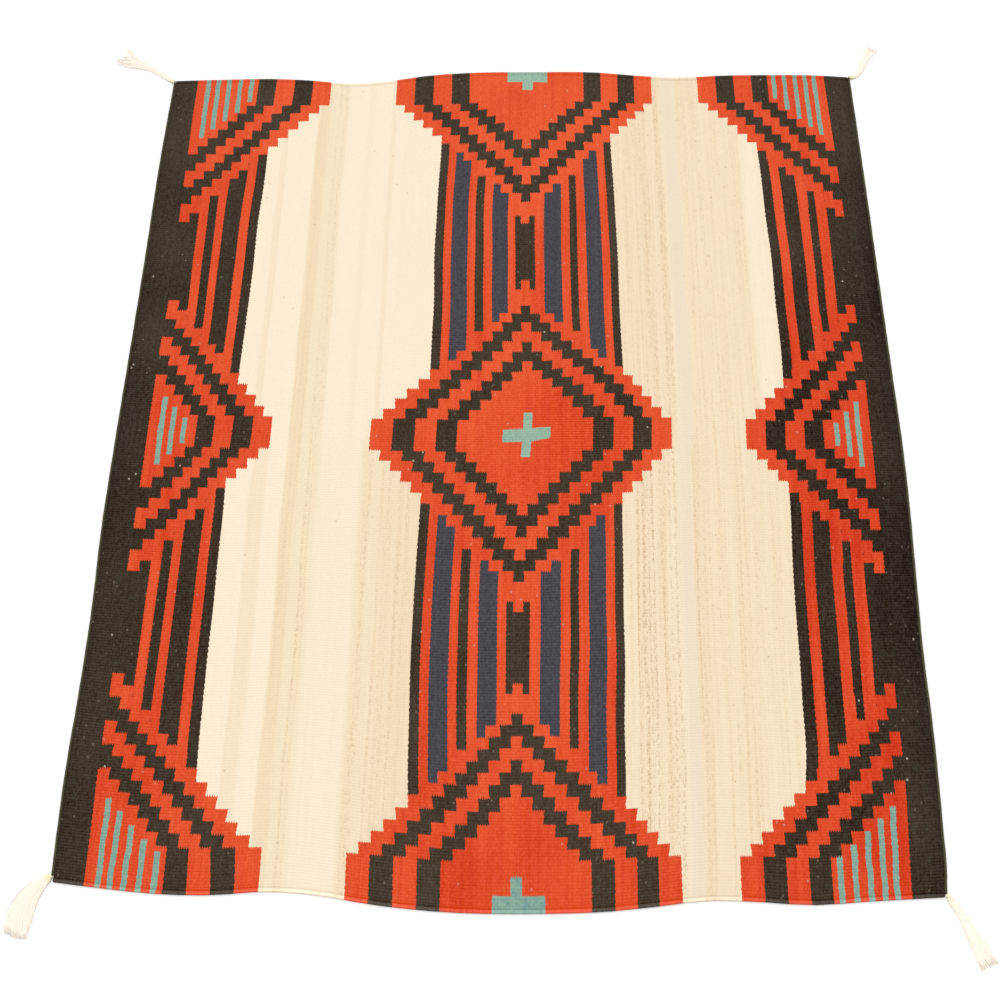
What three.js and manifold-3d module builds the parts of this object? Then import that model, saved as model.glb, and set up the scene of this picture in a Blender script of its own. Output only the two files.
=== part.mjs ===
// A hand-woven wool rug lying flat on the floor: the cloth with its rolled selvages,
// a twined cord along each end, and a tassel at each corner.
// Millimetres, +Z up. The origin is at the middle of the underside, on the floor.

import * as THREE from 'three';
import { mergeVertices } from 'three/addons/utils/BufferGeometryUtils.js';
import Module from 'manifold-3d';

const wasm = await Module();
wasm.setup();

// Thicknesses and clearances
const HALF_WIDE = 609;
const CLOTH_THICK = 3.0;
const SELVAGE_WIDE = 5.5;
const SELVAGE_HIGH = 4.2;
const CORD_WIDE = 4.0;
const TOUCH_GAP = 0.3;
const EDGE_STEPS = 40;

// The knot at the head of each tassel
const KNOT_RADIUS = 5.0;
const KNOT_HIGH = 7.5;
const KNOT_FACETS = 12;

// Each lock of a tassel
const LOCK_STEPS = 9;
const LOCK_SWAY = 0.09;
const LOCK_END_WIDTH = 0.5;
const SHORTEST_LOCK = 0.93;

// The rug's four edges, from the middle of the rug: where each edge stands at each station.
// The two long sides of this wavy outline are the outsides of the end cords.
const FAR_EDGE = [
  { x: -608, y: 684 }, { x: -515, y: 690 }, { x: -428, y: 691 }, { x: -350, y: 687 },
  { x: -297, y: 680 }, { x: -230, y: 686 }, { x: -145, y: 701 }, { x: -60, y: 709 },
  { x: 50, y: 711 }, { x: 150, y: 710 }, { x: 240, y: 702 }, { x: 309, y: 699 },
  { x: 375, y: 704 }, { x: 460, y: 707 }, { x: 550, y: 708 }, { x: 608, y: 702 },
];
const NEAR_EDGE = [
  { x: -610, y: -692 }, { x: -560, y: -698 }, { x: -477, y: -707 }, { x: -394, y: -708 },
  { x: -313, y: -702 }, { x: -250, y: -705 }, { x: -170, y: -716 }, { x: -66, y: -724 },
  { x: 56, y: -724 }, { x: 156, y: -719 }, { x: 225, y: -711 }, { x: 290, y: -703 },
  { x: 350, y: -703 }, { x: 430, y: -706 }, { x: 510, y: -700 }, { x: 610, y: -693 },
];
const LEFT_EDGE = [
  { x: -610, y: -692 }, { x: -613, y: -543 }, { x: -611, y: -429 }, { x: -611, y: -308 },
  { x: -615, y: -181 }, { x: -615, y: -47 }, { x: -613, y: 169 }, { x: -612, y: 324 },
  { x: -612, y: 488 }, { x: -608, y: 684 },
];
const RIGHT_EDGE = [
  { x: 610, y: -693 }, { x: 616, y: -600 }, { x: 619, y: -467 }, { x: 618, y: -351 },
  { x: 621, y: -228 }, { x: 624, y: -98 }, { x: 624, y: -31 }, { x: 621, y: 109 },
  { x: 618, y: 258 }, { x: 615, y: 416 }, { x: 611, y: 584 }, { x: 608, y: 702 },
];

// Each tassel's band of locks: its middle line away from the knot, and half its width there.
// knotIn is how far the knot's middle lies in from the corner, along the rug's end.
// fill is the share of the band that the locks cover, and slant shortens the locks on its first side.
const TASSELS = [
  {
    name: 'tassel_top_left', edge: LEFT_EDGE, outward: -1, end: 1, knotIn: 5,
    locks: 4, lockHigh: 3.6, fill: 0.84, slant: 0,
    band: [
      { x: -619, y: 684, half: 5.4 }, { x: -630, y: 692, half: 6.2 }, { x: -650, y: 706, half: 6.8 },
      { x: -672, y: 720, half: 8.5 }, { x: -692, y: 731, half: 13 }, { x: -712, y: 742, half: 20 },
    ],
  },
  {
    name: 'tassel_top_right', edge: RIGHT_EDGE, outward: 1, end: 1, knotIn: 4,
    locks: 8, lockHigh: 2.6, fill: 0.78, slant: 0,
    band: [
      { x: 617, y: 704, half: 5.2 }, { x: 626, y: 713, half: 6.2 }, { x: 634, y: 728, half: 7 },
      { x: 643, y: 745, half: 8.5 }, { x: 656, y: 766, half: 11.5 },
    ],
  },
  {
    name: 'tassel_bottom_left', edge: LEFT_EDGE, outward: -1, end: -1, knotIn: 5,
    locks: 14, lockHigh: 2, fill: 0.76, slant: 0.14,
    band: [
      { x: -621, y: -693, half: 6.8 }, { x: -631, y: -706, half: 10 }, { x: -640, y: -724, half: 14 },
      { x: -646, y: -744, half: 17 }, { x: -648, y: -770, half: 16 },
    ],
  },
  {
    name: 'tassel_bottom_right', edge: RIGHT_EDGE, outward: 1, end: -1, knotIn: 3,
    locks: 11, lockHigh: 2, fill: 0.76, slant: 0,
    band: [
      { x: 618, y: -701, half: 5.4 }, { x: 630, y: -719, half: 6.8 }, { x: 643, y: -746, half: 10.5 },
      { x: 657, y: -772, half: 15 }, { x: 664, y: -785, half: 17 },
    ],
  },
];

const WOOL = new THREE.MeshStandardMaterial({ color: 0xeed9b8, roughness: 0.95, metalness: 0 });
const DARK_WOOL = new THREE.MeshStandardMaterial({ color: 0x2c2a20, roughness: 0.95, metalness: 0 });
const TASSEL_WOOL = new THREE.MeshStandardMaterial({ color: 0xf0e2c6, roughness: 0.95, metalness: 0 });

// Turns a closed geometry into a solid that can be joined to others
function solid(geometry) {
  const bare = geometry.index ? geometry.toNonIndexed() : geometry.clone();
  bare.deleteAttribute('normal');
  bare.deleteAttribute('uv');
  const merged = mergeVertices(bare, 1e-4);
  return new wasm.Manifold(new wasm.Mesh({
    numProp: 3,
    vertProperties: new Float32Array(merged.attributes.position.array),
    triVerts: new Uint32Array(merged.index.array),
  }));
}

// Joins closed geometries that overlap into one
function joined(geometries) {
  const whole = geometries.map(solid).reduce((sum, next) => sum.add(next));
  const { vertProperties, triVerts } = whole.getMesh();
  const geometry = new THREE.BufferGeometry();
  geometry.setAttribute('position', new THREE.BufferAttribute(vertProperties, 3));
  geometry.setIndex(new THREE.BufferAttribute(triVerts, 1));
  geometry.computeVertexNormals();
  return geometry;
}

function mesh(name, geometry, material) {
  const piece = new THREE.Mesh(geometry, material);
  piece.name = name;
  return piece;
}

// A smooth line through an edge's stations
function smoothLine(stations) {
  return new THREE.SplineCurve(stations.map(({ x, y }) => new THREE.Vector2(x, y)));
}

// Where a line that runs up the rug stands at height y
function xAt(stations, y) {
  const points = smoothLine(stations).getPoints(EDGE_STEPS * 4);
  const next = Math.max(1, points.findIndex((p) => p.y >= y));
  const [a, b] = [points[next - 1], points[next]];
  return a.x + (b.x - a.x) * (y - a.y) / (b.y - a.y);
}

// An eight-sided section, flat underneath, for a cord or roll that rests on the floor
function roundSection(wide, high) {
  const reach = 0.5 / Math.cos(Math.PI / 8);
  const corners = Array.from({ length: 8 }, (_, i) => {
    const angle = (i + 0.5) * Math.PI / 4;
    return new THREE.Vector2(Math.cos(angle) * reach * high, Math.sin(angle) * reach * wide);
  });
  return new THREE.Shape(corners);
}

// A round-sided roll through points on the floor plan
function roll(points, wide, high) {
  const path = new THREE.CatmullRomCurve3(points.map((p) => new THREE.Vector3(p.x, p.y, high / 2)));
  return new THREE.ExtrudeGeometry(roundSection(wide, high), {
    steps: EDGE_STEPS, extrudePath: path, bevelEnabled: false,
  });
}

// The cloth is one slab with the photograph's outline, and a thicker roll along both selvages
function rugCloth() {
  const inset = CORD_WIDE + TOUCH_GAP;
  const narrowed = (stations) => stations.map(({ x, y }) => ({ x: x * (1 - inset / HALF_WIDE), y }));
  const moved = (stations, dx) => stations.map(({ x, y }) => ({ x: x + dx, y }));
  const far = smoothLine(narrowed(FAR_EDGE)).getPoints(EDGE_STEPS);
  const near = smoothLine(narrowed(NEAR_EDGE)).getPoints(EDGE_STEPS);
  const left = smoothLine(moved(LEFT_EDGE, inset)).getPoints(EDGE_STEPS);
  const right = smoothLine(moved(RIGHT_EDGE, -inset)).getPoints(EDGE_STEPS);
  const loop = [
    ...near.slice(0, -1),
    ...right.slice(0, -1),
    ...[...far].reverse().slice(0, -1),
    ...[...left].reverse().slice(0, -1),
  ];
  const slab = new THREE.ExtrudeGeometry(new THREE.Shape(loop), { depth: CLOTH_THICK, bevelEnabled: false });
  const rolls = [{ line: far, inward: -1 }, { line: near, inward: 1 }].map(({ line, inward }) => {
    const middle = line.map((p, i) => {
      const fromCorner = i === 0 ? 1 : i === EDGE_STEPS ? -1 : 0;
      return new THREE.Vector2(p.x + fromCorner, p.y + inward * SELVAGE_WIDE / 2);
    });
    return roll(middle, SELVAGE_WIDE, SELVAGE_HIGH);
  });
  return mesh('rug_cloth', joined([slab, ...rolls]), WOOL);
}

// Where a tassel's knot sits: beside the cloth, past the end of the cord
function knotPlace({ edge, outward, end, knotIn }) {
  const corner = end > 0 ? edge[edge.length - 1] : edge[0];
  const y = corner.y - end * knotIn;
  const clothSide = xAt(edge, y) - outward * (CORD_WIDE + TOUCH_GAP);
  return { x: clothSide + outward * (KNOT_RADIUS + TOUCH_GAP), y };
}

// The twined cord that lies against one end of the cloth, from knot to knot
function endCord(name, edge, outward) {
  const [low, high] = [-1, 1].map((end) => {
    const row = TASSELS.find((t) => t.edge === edge && t.end === end);
    return knotPlace(row).y - end * (KNOT_RADIUS + TOUCH_GAP);
  });
  const middle = Array.from({ length: EDGE_STEPS + 1 }, (_, i) => {
    const y = low + (high - low) * i / EDGE_STEPS;
    return new THREE.Vector2(xAt(edge, y) - outward * CORD_WIDE / 2, y);
  });
  return mesh(name, joined([roll(middle, CORD_WIDE, CORD_WIDE)]), DARK_WOOL);
}

// A squat knot with a flat underside
function knot({ x, y }) {
  const profile = [
    [0, 0], [0.7, 0], [1, 0.3], [0.95, 0.66], [0.6, 0.93], [0, 1],
  ].map(([out, up]) => new THREE.Vector2(out * KNOT_RADIUS, up * KNOT_HIGH));
  const bead = new THREE.LatheGeometry(profile, KNOT_FACETS);
  return bead.rotateX(Math.PI / 2).translate(x, y, 0);
}

// One lock of a tassel: a four-sided strand that lies level on the floor and swells towards its end
function lock(row, start, index) {
  const stations = [{ ...start, half: KNOT_RADIUS * 0.7 }, ...row.band];
  const middle = new THREE.CatmullRomCurve3(stations.map(({ x, y, half }) => new THREE.Vector3(x, y, half)));
  const share = (index + 0.5) / row.locks;
  const unevenly = SHORTEST_LOCK + (1 - SHORTEST_LOCK) * ((index * 3) % 4) / 3;
  const reach = unevenly * (1 - row.slant * (1 - share));
  const sides = [[], []];
  for (let i = 0; i <= LOCK_STEPS; i += 1) {
    const t = reach * i / LOCK_STEPS;
    const place = middle.getPoint(t);
    const along = middle.getTangent(t);
    const normal = new THREE.Vector2(-along.y, along.x).normalize();
    const half = place.z / row.locks * row.fill * (i === LOCK_STEPS ? LOCK_END_WIDTH : 1);
    const sway = LOCK_SWAY * Math.sin(2.4 * index + 5 * t) * t;
    const off = place.z * ((share * 2 - 1) + sway * 2 / row.locks);
    [-1, 1].forEach((side, k) => {
      const out = off + side * half;
      sides[k].push(new THREE.Vector2(place.x + normal.x * out, place.y + normal.y * out));
    });
  }
  const outline = new THREE.Shape([...sides[0], ...sides[1].reverse()]);
  return new THREE.ExtrudeGeometry(outline, { depth: row.lockHigh, bevelEnabled: false });
}

// A tassel is its knot with the roots of its locks fused into it
function tassel(row) {
  const start = knotPlace(row);
  const locks = Array.from({ length: row.locks }, (_, index) => lock(row, start, index));
  return mesh(row.name, joined([knot(start), ...locks]), TASSEL_WOOL);
}

const rug = new THREE.Group();
rug.add(rugCloth());
rug.add(endCord('end_cord_left', LEFT_EDGE, -1));
rug.add(endCord('end_cord_right', RIGHT_EDGE, 1));
TASSELS.forEach((row) => rug.add(tassel(row)));

export default rug;
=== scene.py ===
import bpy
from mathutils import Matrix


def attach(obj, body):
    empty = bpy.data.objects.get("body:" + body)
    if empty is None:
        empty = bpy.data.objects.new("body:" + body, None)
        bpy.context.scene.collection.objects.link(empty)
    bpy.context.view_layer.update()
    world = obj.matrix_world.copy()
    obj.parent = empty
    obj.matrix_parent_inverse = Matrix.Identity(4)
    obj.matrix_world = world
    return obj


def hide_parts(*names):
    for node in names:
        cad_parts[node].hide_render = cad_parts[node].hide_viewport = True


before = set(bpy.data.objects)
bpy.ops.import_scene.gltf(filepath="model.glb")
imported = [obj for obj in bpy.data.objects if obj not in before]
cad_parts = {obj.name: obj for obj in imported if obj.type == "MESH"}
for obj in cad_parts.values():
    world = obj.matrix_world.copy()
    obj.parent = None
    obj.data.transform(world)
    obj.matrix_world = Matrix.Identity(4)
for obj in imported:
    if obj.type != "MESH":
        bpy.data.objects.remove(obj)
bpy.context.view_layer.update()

import math

import bpy
import numpy as np
from mathutils import Matrix, Vector

MM = 0.001
rng = np.random.default_rng(7)

# Sizes, in millimetres

CORD_WIDE = 4.0
TOUCH_GAP = 0.3
HALF_WIDE = 609.0
SELVAGE_WIDE = 5.5
SELVAGE_HIGH = 4.2
CLOTH_THICK = 3.0
RIBS = 334
RIB_DEPTH = 0.45
RIB_ROUND = 0.85
TOP_ROWS_PER_RIB = 5
BACK_ROWS_PER_RIB = 2
COLUMNS = 35
ROLL_TOP = (0, 35, 70, 105, 140)
ROLL_BACK = (35, 90, 140)
CLOTH_WIDE = 1222.0
CLOTH_LONG = 1410.0
MIDDLE_LEFT = -610.7
MIDDLE_PACE = 0.9932
BEAD = 1.7
RIB_PITCH = 4.27
FIRST_RIB = -716.0
BUMP_DEPTH = 0.0003

# The rug's edges, as in the part's source: where each edge stands at each station
FAR_EDGE = [
    (-608, 681), (-515, 685), (-428, 687), (-350, 683), (-297, 677), (-230, 682), (-145, 697),
    (-60, 704), (50, 706), (150, 706), (240, 698), (309, 695), (375, 700), (460, 702), (550, 702),
    (608, 698),
]
NEAR_EDGE = [
    (-610, -695), (-560, -700), (-477, -707), (-394, -708), (-313, -702), (-250, -705),
    (-170, -716), (-66, -724), (56, -724), (156, -719), (225, -711), (290, -703), (350, -703),
    (430, -706), (510, -700), (610, -693),
]
LEFT_EDGE = [
    (-695, -610), (-543, -613), (-429, -611), (-308, -611), (-181, -615), (-47, -615), (169, -613),
    (324, -612), (488, -612), (681, -608),
]
RIGHT_EDGE = [
    (-693, 611), (-660, 614.5), (-600, 616.5), (-467, 619), (-351, 618), (-228, 621), (-98, 624),
    (-31, 624), (109, 621), (258, 618), (416, 615), (584, 611), (698, 608),
]

# The cloth's corners, across and up, with the end cords' width
NEAR_LEFT, NEAR_RIGHT = (-610, -695), (610, -693)
FAR_LEFT, FAR_RIGHT = (-608, 681), (608, 698)

# The weaver's chart: its upright lines, and where each stands on the rug at some heights.
# Columns: the height; on the left the side diamonds' outer edge, the three red stripes, the stripes' end,
# the side diamonds' tips, the middle diamond's tip and the middle band's side; the middle; on the right
# the band's side, the middle diamond's tip, the side diamonds' tips, the stripes' end and the outer edge.
CHART_P = [-566, -534, -502, -454, -422, -326, -204, -124, 28, 180, 260, 330, 426, 570]
CHART_X = [
    (-700, -562, -533, -501, -453, -421, -323, -207, -122, 28, 178, 252, 335, 428, 563),
    (-560, -566, -534, -502, -456, -425, -323, -207, -125, 25.5, 179, 253, 336, 430, 569),
    (-400, -565, -530, -501, -459, -428, -325, -207, -130, 25, 181, 255, 340, 437, 571),
    (-250, -566, -530, -500, -459, -428, -332, -208, -130, 26, 181, 257, 345, 438, 573),
    (-130, -566, -530, -500, -459, -430, -338, -210, -127, 29, 181, 260, 350, 440, 575),
    (0, -564.5, -531, -500, -458, -429, -338, -212, -121, 33, 187, 262, 351.5, 442, 576),
    (120, -565, -528, -499, -458, -428, -338, -208, -120, 34, 187, 261, 352, 447, 574),
    (250, -564, -527, -498, -458, -425, -332, -206, -120, 30, 184, 258, 350, 443, 572),
    (400, -563, -528, -499, -457, -425, -325, -203, -121, 28, 181, 256, 345, 439, 571),
    (545, -564, -532, -500, -455, -424, -323, -203, -120, 31, 176, 254, 338, 433, 566),
    (700, -564, -532, -500, -453, -421, -323, -204, -122, 30, 176, 250, 335, 430, 561),
]

# The chart's level lines, and how high each stands at some places across the rug.
# Columns: the place; the near half diamonds' widest row and tips, the whole diamonds' near tips, the near
# and far side of their widest row, their far tips, and the far half diamonds' tips and widest row.
CHART_Q = [-639.8, -397.6, -235.6, -28, 28, 235.6, 397.6, 639.8]
CHART_Y = [
    (-540, -642, -405, -247, -42, 15, 225, 380, 627),
    (-400, -642, -412, -249, -42, 14, 226, 385, 627),
    (-210, -648, -418, -254, -43, 11, 226, 393, 629),
    (-60, -653, -422, -257, -44, 12, 224, 394, 631),
    (30, -650, -422, -257, -43, 14, 224, 395, 641),
    (110, -647, -422, -257, -39, 17, 225, 394, 638),
    (260, -645, -415, -250, -36, 20, 228, 398, 637),
    (420, -644, -407, -240, -32, 20, 228, 401, 637),
    (540, -642, -402, -234, -30, 20, 227, 401, 640),
]

# Where the weaver's rows swell or crowd. Columns: a swell's middle, across and up; how far it reaches,
# across and up; and how far it carries the pattern, to the left and down.
SWELLS = [
    (30, 600, 110, 60, 0, -9),
    (415, 610, 60, 40, 0, -5),
    (-448, 550, 50, 40, 0, 5),
    (10, 430, 50, 35, 0, 5),
    (30, 250, 60, 40, 0, 6),
    (-448, 120, 60, 60, 0, -7),
    (150, 75, 70, 40, 0, -9),
    (0, 100, 50, 50, 0, 4),
    (448, 10, 50, 40, 0, 6),
    (448, -110, 50, 40, 0, 6),
    (-448, -530, 50, 35, 0, -6),
    (30, -630, 170, 60, 0, 9),
    (-430, -650, 60, 35, 0, 5),
    (160, 0, 65, 520, -4, 0),
    (0, 0, 50, 600, -2, 0),
    (-448, 0, 50, 400, 1.5, 0),
    (448, -500, 40, 50, -4, 0),
    (-384, -635, 35, 45, 7, 0),
    (-64, -590, 50, 40, -4, 0),
]

# The chart's counts: the size of a step, the lines that steps are counted from, and each diamond's steps
CHART_END = 700
COLUMN = 16.0
ROW = 17.3
MIDDLE = 28.0
CORNER_LINE = 639.8
TIP_HALF = 28.0
SIDES_MIDDLE = 2.0
SIDES_EDGE = 568.0
BORDER_STEPS = 9.0
BAND_STEPS = 9.5
DIAMOND_STEPS = 14.0
SIDE_STEPS = 12.0
STEP_LEAN = 1.5 / COLUMN

# How far an edge jumps from bead to bead and from rib to rib
BEAD_STAIR = 0.6 * BEAD
RIB_STAIR = 1.47

NOISE_WAVES = 14
NOISE_SPREAD = 4.6


def smooth_line(stations):
    """A smooth function through (place, value) stations."""
    xs = np.array([s[0] for s in stations], float)
    ys = np.array([s[1] for s in stations], float)
    slopes = np.gradient(ys, xs)

    def at(x):
        x = np.clip(x, xs[0], xs[-1])
        i = np.clip(np.searchsorted(xs, x, side="right") - 1, 0, len(xs) - 2)
        h = xs[i + 1] - xs[i]
        t = (x - xs[i]) / h
        return (
            (2 * t**3 - 3 * t**2 + 1) * ys[i]
            + (t**3 - 2 * t**2 + t) * h * slopes[i]
            + (3 * t**2 - 2 * t**3) * ys[i + 1]
            + (t**3 - t**2) * h * slopes[i + 1]
        )

    return at


far_y, near_y = smooth_line(FAR_EDGE), smooth_line(NEAR_EDGE)
left_x, right_x = smooth_line(LEFT_EDGE), smooth_line(RIGHT_EDGE)
INSET = CORD_WIDE + TOUCH_GAP


def between(first, last, share):
    return first + (last - first) * share


def cloth_place(u, v):
    """The plan place of the cloth's point at shares u across and v up, between its four edges."""
    squeeze = 1 - INSET / HALF_WIDE
    near_x = between(NEAR_LEFT[0], NEAR_RIGHT[0], u) * squeeze
    far_x = between(FAR_LEFT[0], FAR_RIGHT[0], u) * squeeze
    low, high = near_y(near_x / squeeze), far_y(far_x / squeeze)
    left_up = between(NEAR_LEFT[1], FAR_LEFT[1], v)
    right_up = between(NEAR_RIGHT[1], FAR_RIGHT[1], v)
    lx, rx = left_x(left_up) + INSET, right_x(right_up) - INSET
    x = (1 - v) * near_x + v * far_x + (1 - u) * lx + u * rx
    y = (1 - v) * low + v * high + (1 - u) * left_up + u * right_up
    corners = [
        ((1 - u) * (1 - v), NEAR_LEFT),
        (u * (1 - v), NEAR_RIGHT),
        ((1 - u) * v, FAR_LEFT),
        (u * v, FAR_RIGHT),
    ]
    for share, (cx, cy) in corners:
        x = x - share * (cx * squeeze)
        y = y - share * cy
    return x, y


def soft_noise(x, y, size):
    """Smooth random numbers between about -1 and 1 whose swells are about this long, in millimetres."""
    total = 0.0
    for _ in range(NOISE_WAVES):
        turn, phase = rng.uniform(0, 2 * math.pi, 2)
        length = size * rng.uniform(1.2, 3.2)
        total = total + np.sin((x * math.cos(turn) + y * math.sin(turn)) * 2 * math.pi / length + phase)
    return total / NOISE_SPREAD


def swollen(x, y):
    """A point of the cloth, carried along by the swells round it."""
    right, up = 0.0, 0.0
    for middle_x, middle_y, wide, high, by_x, by_y in SWELLS:
        share = np.exp(-(((x - middle_x) / wide) ** 2) - ((y - middle_y) / high) ** 2)
        right = right + share * by_x
        up = up + share * by_y
    return x + right, y + up


def charted(place, lines, marks):
    """A place's mark on the chart, counted between the lines on either side of it."""
    mark = marks[0] + (place - lines[0])
    for i in range(len(marks) - 1):
        share = (place - lines[i]) / (lines[i + 1] - lines[i])
        mark = np.where(share >= 0, marks[i] + share * (marks[i + 1] - marks[i]), mark)
    return mark


def chart_place(x, y):
    """Where a point of the cloth falls on the weaver's chart."""
    x, y = swollen(x, y)
    upright = [smooth_line([(row[0], row[i + 1]) for row in CHART_X])(y) for i in range(len(CHART_P))]
    p = charted(x, upright, CHART_P)
    p = np.where(x > upright[-1], CHART_P[-1] + (x - upright[-1]), p)
    stations = [row[0] for row in CHART_Y]
    level = [np.interp(x, stations, [row[i + 1] for row in CHART_Y]) for i in range(len(CHART_Q))]
    q = charted(y, [near_y(x), *level, far_y(x)], [-CHART_END, *CHART_Q, CHART_END])
    return p, q


# Camera

CAMERA_PLACE = (0.0290, -0.7734, 1.6511)
CAMERA_RIGHT = (0.99975, 0.01834, -0.01280)
CAMERA_UP = (-0.01238, 0.93036, 0.36644)
CAMERA_BACK = (0.01863, -0.36619, 0.93035)

camera_data = bpy.data.cameras.new("camera")
camera_data.sensor_width = 36.0
camera_data.lens = 41.4
camera_data.clip_start = 0.05
camera_data.clip_end = 60.0
camera = bpy.data.objects.new("camera", camera_data)
turn = Matrix((CAMERA_RIGHT, CAMERA_UP, CAMERA_BACK)).transposed()
camera.matrix_world = Matrix.Translation(CAMERA_PLACE) @ turn.to_4x4()
bpy.context.scene.collection.objects.link(camera)
bpy.context.scene.camera = camera
bpy.context.scene.view_settings.view_transform = "Standard"


# Nodes from expressions


class Value:
    """A number in a material that can be worked with as in Python."""

    def __init__(self, nodes, socket):
        self.nodes, self.socket = nodes, socket

    def op(self, name, *others, clamp=False):
        node = self.nodes.new("ShaderNodeMath")
        node.operation = name
        node.use_clamp = clamp
        for slot, item in zip(node.inputs, [self, *others]):
            if isinstance(item, Value):
                node.id_data.links.new(item.socket, slot)
            else:
                slot.default_value = item
        return Value(self.nodes, node.outputs[0])

    def __add__(self, other):
        return self.op("ADD", other)

    def __sub__(self, other):
        return self.op("SUBTRACT", other)

    def __mul__(self, other):
        return self.op("MULTIPLY", other)

    def __truediv__(self, other):
        return self.op("DIVIDE", other)

    def over(self, limit):
        return self.op("GREATER_THAN", limit)

    def under(self, limit):
        return self.op("LESS_THAN", limit)

    def between(self, low, high):
        return self.over(low) * self.under(high)

    def floor(self):
        return self.op("FLOOR")

    def ceil(self):
        return self.op("CEIL")

    def abs(self):
        return self.op("ABSOLUTE")

    def odd(self):
        return self.op("FLOORED_MODULO", 2.0)

    def inverse(self):
        return self * -1.0 + 1.0

    def clamped(self):
        return self.op("ADD", 0.0, clamp=True)


def added(values):
    """The sum of several shares."""
    total = values[0]
    for value in values[1:]:
        total = total + value
    return total


class Maker:
    """Makes the nodes of one material."""

    def __init__(self, name, roughness, specular):
        self.material = bpy.data.materials.new(name)
        self.material.use_nodes = True
        self.tree = self.material.node_tree
        self.nodes = self.tree.nodes
        self.shader = self.nodes["Principled BSDF"]
        self.shader.inputs["Roughness"].default_value = roughness
        self.shader.inputs["Specular IOR Level"].default_value = specular

    def put(self, item, slot):
        """Gives a slot a number, a colour, or what another node works out."""
        if isinstance(item, Value):
            self.tree.links.new(item.socket, slot)
        elif isinstance(item, bpy.types.NodeSocket):
            self.tree.links.new(item, slot)
        elif isinstance(item, tuple):
            slot.default_value = (*item, 1.0)
        else:
            slot.default_value = item

    def attribute(self, name):
        node = self.nodes.new("ShaderNodeAttribute")
        node.attribute_name = name
        split = self.nodes.new("ShaderNodeSeparateXYZ")
        self.put(node.outputs["Vector"], split.inputs[0])
        return [Value(self.nodes, s) for s in split.outputs]

    def point(self, x, y, z):
        node = self.nodes.new("ShaderNodeCombineXYZ")
        for slot, item in zip(node.inputs, (x, y, z)):
            self.put(item, slot)
        return node.outputs[0]

    def chance(self, x, y, z=0.0):
        """A fixed random number for each cell."""
        node = self.nodes.new("ShaderNodeTexWhiteNoise")
        node.noise_dimensions = "3D"
        self.put(self.point(x, y, z), node.inputs["Vector"])
        return Value(self.nodes, node.outputs["Value"])

    def noise(self, x, y, z, detail=2.0):
        """Smooth noise about 0.5."""
        node = self.nodes.new("ShaderNodeTexNoise")
        node.noise_dimensions = "3D"
        node.inputs["Scale"].default_value = 1.0
        node.inputs["Detail"].default_value = detail
        self.put(self.point(x, y, z), node.inputs["Vector"])
        return Value(self.nodes, node.outputs[0])

    def mix(self, share, a, b):
        node = self.nodes.new("ShaderNodeMix")
        node.data_type = "RGBA"
        for slot, item in ((node.inputs[0], share), (node.inputs[6], a), (node.inputs[7], b)):
            self.put(item, slot)
        return node.outputs[2]

    def ramp(self, item, low, high, at_low, at_high):
        """A soft step from one value to another."""
        node = self.nodes.new("ShaderNodeMapRange")
        node.interpolation_type = "SMOOTHSTEP"
        self.put(item, node.inputs["Value"])
        limits = {"From Min": low, "From Max": high, "To Min": at_low, "To Max": at_high}
        for name, number in limits.items():
            node.inputs[name].default_value = number
        return Value(self.nodes, node.outputs[0])

    def stops(self, across, table):
        """A ramp through a table of places across the rug, each with its three shares."""
        low, high = table[0][0], table[-1][0]
        start, reach = (low - MIDDLE_LEFT) * MIDDLE_PACE, (high - low) * MIDDLE_PACE
        node = self.nodes.new("ShaderNodeValToRGB")
        stops = node.color_ramp.elements
        while len(stops) < len(table):
            stops.new(0.5)
        for stop, (x, *shares) in zip(stops, table):
            stop.position = (x - low) / (high - low)
            stop.color = (*shares, 1.0)
        self.put((across - start) / reach, node.inputs["Fac"])
        return node.outputs["Color"]

    def parts(self, colour):
        """The three shares held by a colour."""
        node = self.nodes.new("ShaderNodeSeparateColor")
        self.put(colour, node.inputs[0])
        return [Value(self.nodes, s) for s in node.outputs]

    def vector(self, name, colour, other):
        """A sum worked on all three shares of a colour."""
        node = self.nodes.new("ShaderNodeVectorMath")
        node.operation = name
        self.put(colour, node.inputs[0])
        if isinstance(other, Value):
            self.put(other, node.inputs["Scale"])
        else:
            node.inputs[1].default_value = other
        return node.outputs[0]

    def finish(self, colour, height=None, strength=1.0):
        self.put(colour, self.shader.inputs["Base Color"])
        if height is not None:
            bump = self.nodes.new("ShaderNodeBump")
            bump.inputs["Strength"].default_value = strength
            bump.inputs["Distance"].default_value = BUMP_DEPTH
            self.put(height, bump.inputs["Height"])
            self.put(bump.outputs[0], self.shader.inputs["Normal"])
        return self.material


def tone(red, green, blue, light=1.0):
    """A colour given as it looks on a screen, as a surface colour."""
    def linear(c):
        c /= 255
        return c / 12.92 if c <= 0.04045 else ((c + 0.055) / 1.055) ** 2.4
    return tuple(min(1.0, linear(c) / light) for c in (red, green, blue))


LIGHT = 1.08
RED = tone(230, 91, 53, LIGHT)
DEEP_RED = tone(205, 57, 30, LIGHT)
PALE_BLACK = tone(74, 62, 51, LIGHT)
DEEP_BLACK = tone(50, 38, 30, LIGHT)
NAVY = tone(73, 70, 78, LIGHT)
TEAL = tone(154, 184, 162, LIGHT)
DARK_TEAL = tone(112, 152, 146, LIGHT)
CREAM = tone(245, 229, 203, LIGHT)
TAN = tone(235, 212, 179, LIGHT)
GREY_CREAM = tone(230, 213, 189, LIGHT)
BROWN = tone(196, 165, 128, LIGHT)
LINT = tone(200, 186, 168, LIGHT)
OLIVE = tone(62, 62, 44, LIGHT)
SHADE_LIFT = (0.14, 0.14, 0.14)
DARKEST = (0.006, 0.005, 0.004)

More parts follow.
